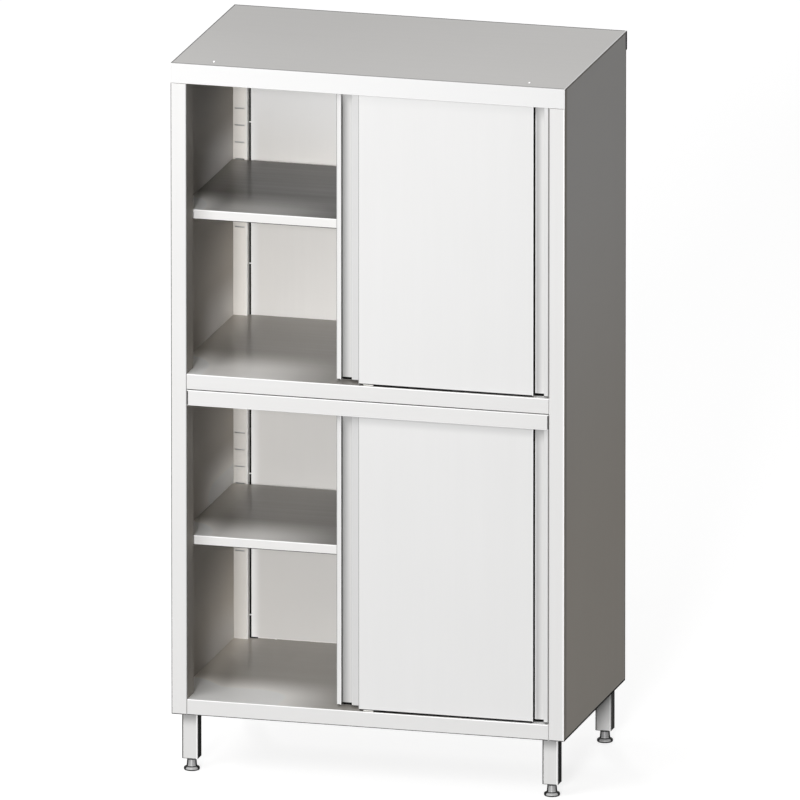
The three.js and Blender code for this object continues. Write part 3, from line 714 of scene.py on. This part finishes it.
def merged(name):
    """A copy of a node's mesh whose triangles share their corners."""
    mesh = nodes[name].data.copy()
    mesh.name = name + "_sheet"
    mesh.materials.clear()
    shape = bmesh.new()
    shape.from_mesh(mesh)
    bmesh.ops.remove_doubles(shape, verts=shape.verts, dist=MERGE)
    shape.to_mesh(mesh)
    shape.free()
    return mesh


def soften(mesh):
    """Sets the corner normals, so that folds and round pieces look round and flats flat."""
    normals = [face.normal.copy() for face in mesh.polygons]
    around = [{} for _ in mesh.vertices]
    for face in mesh.polygons:
        for corner in face.vertices:
            around[corner][tuple(round(c, 3) for c in face.normal)] = face.normal.copy()
    made = []
    for face in mesh.polygons:
        own = normals[face.index]
        for corner in face.vertices:
            near = [n for n in around[corner].values() if n.dot(own) > SMOOTH_LIMIT]
            flats = [n for n in near if heading(n)]
            if heading(own):
                made.append(own)
            elif flats:
                made.append(flats[0])
            else:
                made.append(sum(near, Vector()).normalized())
    mesh.polygons.foreach_set("use_smooth", [True] * len(mesh.polygons))
    mesh.normals_split_custom_set(made)


bodies = frame["record"]["behaviour"]["bodies"]
body_of = {name: body for body, names in bodies.items() for name in names}
slots = {part["node"]: part["material_slot"] for part in frame["record"]["subparts"]}


def carried(name, mesh, body):
    """An object for a mesh that rides on a body."""
    obj = bpy.data.objects.new(name, mesh)
    scene.collection.objects.link(obj)
    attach(obj, body)
    return obj


def stand_in(name, mesh, suffix="_sheet"):
    """An object that takes a node's place, with its body."""
    obj = carried(name + suffix, mesh, body_of[name])
    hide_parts(name)


print("ready to copy", len(nodes), "nodes")

# %% [markdown]
# One piece of sheet shows several finishes: a side panel has a brushed outer face and stile, a
# grey inner face, and bright folds. So each family of pieces has a small rule that looks at where
# a face lies and which way it looks, and names its finish. A face that looks along no axis is
# part of a fold. Most folds are bright where they look up or sideways, and dark where they look
# down into a seam, and some take the finish of the sheet beside them.

# %% Rules for the body
# Past these places a face lies in one of the body's outer planes
AT_SIDE = RIGHT - 0.0005
AT_BACK = SIDE_BACK - 0.0005
AT_TOP = TOP - 0.0005
AT_FRONT = FRONT + 0.001

# How far in from an edge of the body its folds reach
NEAR = 0.010

# Where the header's upper fold starts in Z, the X within which the inner edges of stiles and the
# rails lie, the Y past which rails and rear flanges start, and how far a loose shelf's lip reaches
HEADER_FOLD = TOP - 0.005
STILE_REACH = 0.47
RAIL_REACH = 0.465
RAIL_START = 0.25
REAR_START = 0.28
SHELF_LIP = SHELF_FRONT + 0.03

# The part of a normal that tells that a fold looks down or to the right
DOWNWARD = -0.1
SIDEWAYS = 0.6


def fold_finish(normal):
    return "seam" if normal.z < DOWNWARD else "fold"


def side_rule(towards, normal, at):
    if not towards and at.y < FRONT + NEAR:
        if at.x < LEFT + NEAR:
            return "seam"
        if abs(at.x) < STILE_REACH:
            return "edge_level" if at.x > 0 else "edge"
        if normal.x > SIDEWAYS:
            return "outer"
    if not towards:
        return fold_finish(normal)
    if towards == "-Y":
        return "front" if at.y < AT_FRONT else "rail" if at.y < REAR_START else "flange"
    if towards in ("X", "-X") and at.y > RAIL_START and abs(at.x) < RAIL_REACH:
        return "rail_side"
    if towards == "Y" and at.y > AT_BACK:
        return "rear"
    return "outer" if abs(at.x) > AT_SIDE or at.y > AT_BACK else "inner"


def top_rule(towards, normal, at):
    if not towards:
        return "seam" if at.y > 0 else "front_level" if at.z > HEADER_FOLD else "fold"
    if towards == "Z":
        return "top" if at.z > AT_TOP else "dark"
    if towards == "-Y":
        return "front_level" if at.y < AT_FRONT else "dark"
    if towards in ("X", "-X"):
        return "dark" if at.y > BACK - NEAR else "outer"
    return "rear" if towards == "Y" else "inner"


def shelf_rule(towards, normal, at):
    if not towards:
        return "floor" if at.y > 0 else fold_finish(normal)
    if towards == "Z":
        return "floor"
    if towards == "-Y" and at.y < AT_FRONT:
        return "front_level"
    return "rear" if at.y > REAR_START and towards == "Y" else "inner"


def loose_shelf_rule(towards, normal, at):
    tread = "shelf" if at.z > MID_FLOOR else "low_shelf"
    if not towards:
        return tread if at.y > 0 else fold_finish(normal)
    if towards == "-Y" and at.y < SHELF_LIP:
        return "shelf_edge"
    return tread if towards == "Z" else "inner"


def lower_header_rule(towards, normal, at):
    if not towards:
        return "fold"
    return "strip" if towards == "-Y" and at.y < AT_FRONT else shelf_rule(towards, normal, at)


def back_rule(towards, normal, at):
    return {"-Y": "back", "Y": "rear"}.get(towards, "outer")


def leg_rule(towards, normal, at):
    if towards == "X":
        return "leg_side"
    if towards in ("Z", "-Z"):
        return "dark"
    if towards:
        return "leg" if at.y < 0 else "rear_leg"
    return "fold" if normal.x > 0 else "leg_corner"


example = side_rule("-Y", None, Vector((RIGHT, FRONT, MID_FLOOR)))
print("the front of a stile gets the finish", example)

# %% Rules for the doors
# On a door: the width of its edge folds, the thickness of its skin, the width of the folds at
# the recess wall, and the depth past which a fold belongs to the recess's floor
EDGE = 0.003
SKIN = 0.002
WALL_FOLD = 0.004
RECESS_START = 0.006


def door_rule(node):
    """A rule for the front skin of one door, by the distance from its grip side."""
    low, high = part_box(node)
    front_door = "right" in node
    wall = GRIP if front_door else LIP
    wall_finish = "dark" if front_door else "grip_wall"
    width = high.x - low.x

    def rule(towards, normal, at):
        inward = high.x - at.x if front_door else at.x - low.x
        depth = at.y - low.y
        if not towards:
            if normal.z < DOWNWARD:
                return "seam"
            if inward < EDGE or inward > width - EDGE:
                return "edge"
            near_wall = abs(inward - wall) < WALL_FOLD
            if depth > RECESS_START:
                return wall_finish if near_wall else "door"
            return "fold" if near_wall else "lip"
        if towards == "-Y" and depth > SKIN:
            return "front_grip" if front_door else "rear_grip"
        if towards == "-Y" and front_door and inward < LIP:
            return "lip"
        if towards == "X" and abs(inward - wall) < EDGE:
            return wall_finish
        return "door"

    return rule


print("grips of the rear doors start at X", round(REAR_DOOR_START, 3))
print("grips of the front doors end at X", round(FRONT_DOOR_END, 3))


# %% The rule for each piece
def same_all_over(finish):
    return lambda towards, normal, at: finish


def rule_of(name):
    """The rule for a piece of sheet, or nothing for any other node."""
    if "side_panel" in name:
        return side_rule
    if name == "top_panel":
        return top_rule
    if name == "back_panel":
        return back_rule
    if "adjustable_shelf" in name:
        return loose_shelf_rule
    if name == "lower_header":
        return lower_header_rule
    if name in ("bottom_shelf", "mid_shelf"):
        return shelf_rule
    if name.startswith("leg_") and "insert" not in name:
        return leg_rule
    if name.endswith("_face"):
        return door_rule(name)
    if name.endswith("_door_back"):
        return same_all_over("door")
    if "track" in name and "screw" not in name:
        return same_all_over("track")
    return None


sheets = [name for name in sorted(nodes) if rule_of(name)]
print(len(sheets), "pieces of sheet and", len(nodes) - len(sheets), "of hardware")


# %% Dress the sheet metal
def dress(name, rule):
    """Copies a piece of sheet, and gives each face the finish that the rule names."""
    mesh = merged(name)
    keys = list(sheet_finishes)
    chosen = [
        keys.index(rule(heading(face.normal), face.normal, face.center)) for face in mesh.polygons
    ]
    used = sorted(set(chosen))
    for key in used:
        mesh.materials.append(sheet_finishes[keys[key]])
    mesh.polygons.foreach_set("material_index", [used.index(key) for key in chosen])
    soften(mesh)
    stand_in(name, mesh)


for name in sheets:
    dress(name, rule_of(name))
print(len(sheets), "sheets dressed")

# %% [markdown]
# The small hardware keeps one finish a piece, but the wheels, clips and hangers are copied in the
# same way, so that what was bent or turned looks round.

# %% Dress the hardware
hardware = {
    "zinc_steel": zinc,
    "turned_steel": turned_screw,
    "white_nylon": nylon_white,
    "black_nylon": nylon_black,
}
hard_names = [name for name in sorted(set(nodes) - set(sheets)) if not name.startswith("foot_")]
for name in hard_names:
    mesh = merged(name)
    mesh.materials.append(hardware[slots[name]])
    soften(mesh)
    stand_in(name, mesh, "_smooth")
print(len(hard_names), "pieces of hardware dressed")

# %% [markdown]
# A levelling foot is turned from bar: a round disc with a rolled rim, a straight neck and a
# threaded stem. It is one profile spun round the foot's axis, with far more sides than the CAD
# solid has. A Screw modifier could spin it too, but a loop over the profile's rings closes both
# ends by itself. The stem is plain here, and gets its thread further down.

# %% Turned feet
FOOT_SIDES = 56
MILLIMETRE = 0.001
# The radius and the height of each point, in millimetres
FOOT_PROFILE = [
    (0.0, 0.0), (17.0, 0.0), (18.6, 0.5), (19.6, 1.6), (20.0, 3.0), (20.0, 5.6), (19.6, 6.9),
    (18.6, 8.0), (17.0, 8.9), (15.2, 9.8), (13.9, 10.8), (13.2, 12.0), (12.9, 13.6), (11.5, 29.6),
    (11.2, 30.6), (11.2, 31.2), (10.8, 32.0), (10.3, 32.2), (4.78, 32.2), (4.78, 75.2), (4.0, 76.2),
    (0.0, 76.2),
]


def spun(name, profile, sides, at):
    """A closed solid of revolution about Z."""
    shape = bmesh.new()
    rings = []
    for radius, height in profile:
        angles = [2 * math.pi * i / sides for i in range(sides)] if radius else [0.0]
        rings.append([
            shape.verts.new((
                at.x + radius * MILLIMETRE * math.cos(angle),
                at.y + radius * MILLIMETRE * math.sin(angle),
                at.z + height * MILLIMETRE,
            ))
            for angle in angles
        ])
    for lower, upper in zip(rings, rings[1:]):
        for i in range(sides):
            j = (i + 1) % sides
            loop = [
                lower[i % len(lower)], lower[j % len(lower)],
                upper[j % len(upper)], upper[i % len(upper)],
            ]
            corners = list(dict.fromkeys(loop))
            if len(corners) > 2:
                shape.faces.new(corners)
    bmesh.ops.recalc_face_normals(shape, faces=shape.faces)
    mesh = bpy.data.meshes.new(name)
    shape.to_mesh(mesh)
    shape.free()
    return mesh


feet = [name for name in sorted(nodes) if name.startswith("foot_")]
foot_axes = {}
for name in feet:
    low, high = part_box(name)
    foot_axes[name] = Vector(((low.x + high.x) / 2, (low.y + high.y) / 2, low.z))
    mesh = spun(name + "_turned", FOOT_PROFILE, FOOT_SIDES, foot_axes[name])
    mesh.materials.append(turned_foot)
    soften(mesh)
    stand_in(name, mesh, "_turned")
print(len(feet), "turned feet")

# %% [markdown]
# What repeats is made with Geometry Nodes. Each tree is built here, takes its sizes from named
# inputs, and ends in real geometry with its finish set. The result is then read off as a plain
# mesh, because only plain meshes travel with the model.


# %% A helper for node trees
class NodeTree:
    """A Geometry Nodes tree with named inputs, built one node at a time."""

    def __init__(self, name, sizes):
        self.group = bpy.data.node_groups.new(name, "GeometryNodeTree")
        self.sizes = sizes
        sockets = self.group.interface
        for label in sizes:
            sockets.new_socket(label, in_out="INPUT", socket_type="NodeSocketFloat")
        sockets.new_socket("Geometry", in_out="OUTPUT", socket_type="NodeSocketGeometry")
        self.inputs = add_node(self.group, "NodeGroupInput")

    def size(self, label):
        return Signal(self.inputs.outputs[label])

    def add(self, kind, settings=None, values=None):
        """Adds a node and gives its first output."""
        return Signal(add_node(self.group, kind, settings, values).outputs[0])

    def row(self, axis):
        """A row of Count points along an axis, a Pitch apart."""
        step = self.add("ShaderNodeCombineXYZ", values={axis: self.size("Pitch")})
        values = {"Count": self.size("Count"), "Offset": step}
        return self.add("GeometryNodeMeshLine", values=values)

    def finished(self, geometry, material):
        """Closes the tree: real geometry in one finish."""
        real = self.add("GeometryNodeRealizeInstances", values={0: geometry})
        dressed = self.add("GeometryNodeSetMaterial", values={0: real, "Material": material})
        add_node(self.group, "NodeGroupOutput", values={0: dressed})

    def grown(self, name, **sizes):
        """Runs the tree with these sizes and gives the result as a plain mesh."""
        seed = bpy.data.meshes.new(name + "_seed")
        holder = bpy.data.objects.new(name, seed)
        scene.collection.objects.link(holder)
        modifier = holder.modifiers.new("nodes", "NODES")
        modifier.node_group = self.group
        for item in self.group.interface.items_tree:
            if item.in_out == "INPUT":
                modifier[item.identifier] = float(sizes.get(item.name, self.sizes[item.name]))
        graph = bpy.context.evaluated_depsgraph_get()
        mesh = bpy.data.meshes.new_from_object(holder.evaluated_get(graph))
        bpy.data.objects.remove(holder)
        bpy.data.meshes.remove(seed)
        mesh.name = name
        return mesh


print("ready to grow what repeats")

# %% [markdown]
# The thread of a foot's stem is one ridge that climbs in a helix. Rings stacked on each other
# would be simpler, but rings don't climb, so a spiral curve has a small round section swept along
# it. Four numbers set it: its turns, radius and height, and the thickness of the ridge.


# %% Threads on the stems
def thread_tree():
    tree = NodeTree("stem_thread", {
        "Turns": 24.0, "Radius": 0.0048, "Ridge": 0.0003, "Height": 0.036,
    })
    spiral = tree.add("GeometryNodeCurveSpiral", values={
        "Resolution": 20,
        "Rotations": tree.size("Turns"),
        "Start Radius": tree.size("Radius"),
        "End Radius": tree.size("Radius"),
        "Height": tree.size("Height"),
    })
    section = tree.add("GeometryNodeCurvePrimitiveCircle", values={
        "Resolution": 6, "Radius": tree.size("Ridge"),
    })
    ridge = tree.add("GeometryNodeCurveToMesh", values={
        "Curve": spiral, "Profile Curve": section, "Fill Caps": True,
    })
    tree.finished(ridge, turned_foot)
    return tree


threads = thread_tree()
THREAD_START = 0.0345
for name in feet:
    mesh = threads.grown(name + "_thread")
    mesh.transform(Matrix.Translation(foot_axes[name] + Vector((0, 0, THREAD_START))))
    carried(mesh.name, mesh, body_of[name])
print(len(mesh.polygons), "faces on each thread")

# %% [markdown]
# The slotted rails inside are spot welded to the rear flanges of the sides, and each weld leaves a
# small, flat, slightly raised mark on the back. The marks could be painted on, but a low cone on
# each point of an evenly spaced row catches the light at its edge, as the real ones do.


# %% Spot welds on the back
def weld_tree():
    tree = NodeTree("spot_welds", {
        "Count": 21.0, "Pitch": 0.075, "Radius": 0.0032, "Crown": 0.0018, "Proud": 0.00025,
    })
    row = tree.row("Z")
    nugget = tree.add("GeometryNodeMeshCone", values={
        "Vertices": 20,
        "Radius Top": tree.size("Crown"),
        "Radius Bottom": tree.size("Radius"),
        "Depth": tree.size("Proud"),
    })
    spots = tree.add("GeometryNodeInstanceOnPoints", values={
        "Points": row, "Instance": nugget, "Rotation": (-math.pi / 2, 0.0, 0.0),
    })
    tree.finished(spots, weld_mark)
    return tree


weld_mark = satin_steel("heat_tinted_weld", Z, 0.46, 0.12, streaks=0.6)
welds = weld_tree()
WELD_REACH = 0.470
FIRST_WELD = BODY_FOOT + 0.075
for side, sign in (("left", -1), ("right", 1)):
    mesh = welds.grown("back_weld_spots_" + side)
    mesh.transform(Matrix.Translation((sign * WELD_REACH, SIDE_BACK, FIRST_WELD)))
    carried(mesh.name, mesh, "carcass")
print(len(mesh.polygons), "faces on each row of welds")

# %% [markdown]
# A strip of short black bristles fills the gap under a sliding door and stands in for the shade
# in that gap. One bristle is a thin square rod that hangs from its root, and it is set on each
# point of a row, with a random lean that a fixed seed repeats. A second row splays out towards the
# front. Brushes are made only where that shade shows: past the guide under the front doors, and in
# the recesses of all four doors.

# %% Brushes at the feet of the doors
HAIR_PITCH = 0.0006
# Of each row of hairs, how far back it stands, how long the hairs are and how far they splay
BRUSH_ROWS = ((0.0003, 0.0029, 0.0), (0.0002, 0.0030, -0.42))
BRUSH_START = 0.0007
BRUSH_MARGIN = 0.001
BRUSH_LIFT = 0.0001
RECESS_DEPTH = 0.017
PAST_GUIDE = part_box("upper_door_guide")[1].x + 0.001


def brush_tree():
    tree = NodeTree("door_brush", {
        "Count": 800.0, "Pitch": HAIR_PITCH, "Length": 0.0029, "Thickness": 0.0003, "Splay": 0.0,
    })
    row = tree.row("X")
    hair = tree.add("GeometryNodeMeshCone", values={
        "Vertices": 4,
        "Radius Top": tree.size("Thickness"),
        "Radius Bottom": tree.size("Thickness"),
        "Depth": tree.size("Length"),
    })
    drop = tree.add("ShaderNodeCombineXYZ", values={"Z": tree.size("Length") * -1.0})
    hanging = tree.add("GeometryNodeTransform", values={"Geometry": hair, "Translation": drop})
    lean = tree.add(
        "FunctionNodeRandomValue",
        {"data_type": "FLOAT_VECTOR"},
        {"Min": (-0.16, -0.10, 0.0), "Max": (0.0, 0.10, 1.5), "Seed": 11},
    )
    splay = tree.add("ShaderNodeCombineXYZ", values={"X": tree.size("Splay")})
    turned = tree.add("ShaderNodeVectorMath", {"operation": "ADD"}, {0: lean, 1: splay})
    hairs = tree.add("GeometryNodeInstanceOnPoints", values={
        "Points": row, "Instance": hanging, "Rotation": turned,
    })
    tree.finished(hairs, shade_bristles)
    return tree


def bristle_finish(name):
    material, shader, place = new_finish(name)
    tuft = place.noise(900.0, 2.0, 0.5)
    feed(shader, {
        "Base Color": tuft.blend((0.004, 0.004, 0.004, 1.0), (0.014, 0.014, 0.014, 1.0)),
        "Roughness": (0.7 + 0.2 * (tuft - 0.5)).clamped(),
        "Specular IOR Level": 0.0,
    })
    return material


# Near-black bristles: painted shade for the gap under a door
shade_bristles = bristle_finish("black_bristle")
brushes = brush_tree()


def brush_spans(node):
    """The stretches of brush under one door: its two ends in X, and how far back it stands."""
    low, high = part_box(node)
    if "right" in node:
        return [
            (PAST_GUIDE, high.x - GRIP, 0.0),
            (high.x - GRIP, high.x - LIP, RECESS_DEPTH),
        ]
    return [(low.x + LIP, low.x + GRIP, RECESS_DEPTH)]


brush_count = 0
for name in sorted(nodes):
    if not name.endswith("_face"):
        continue
    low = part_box(name)[0]
    for part, (start, end, inset) in enumerate(brush_spans(name)):
        for row, (setback, length, splay) in enumerate(BRUSH_ROWS):
            mesh = brushes.grown(
                name.replace("_face", "_brush_%d_%d" % (part, row)),
                Count=(end - start - BRUSH_MARGIN) / HAIR_PITCH, Length=length, Splay=splay,
            )
            place = (start + BRUSH_START, low.y + inset + setback, low.z + BRUSH_LIFT)
            mesh.transform(Matrix.Translation(place))
            carried(mesh.name, mesh, body_of[name])
            brush_count += 1
print(brush_count, "stretches of brush")
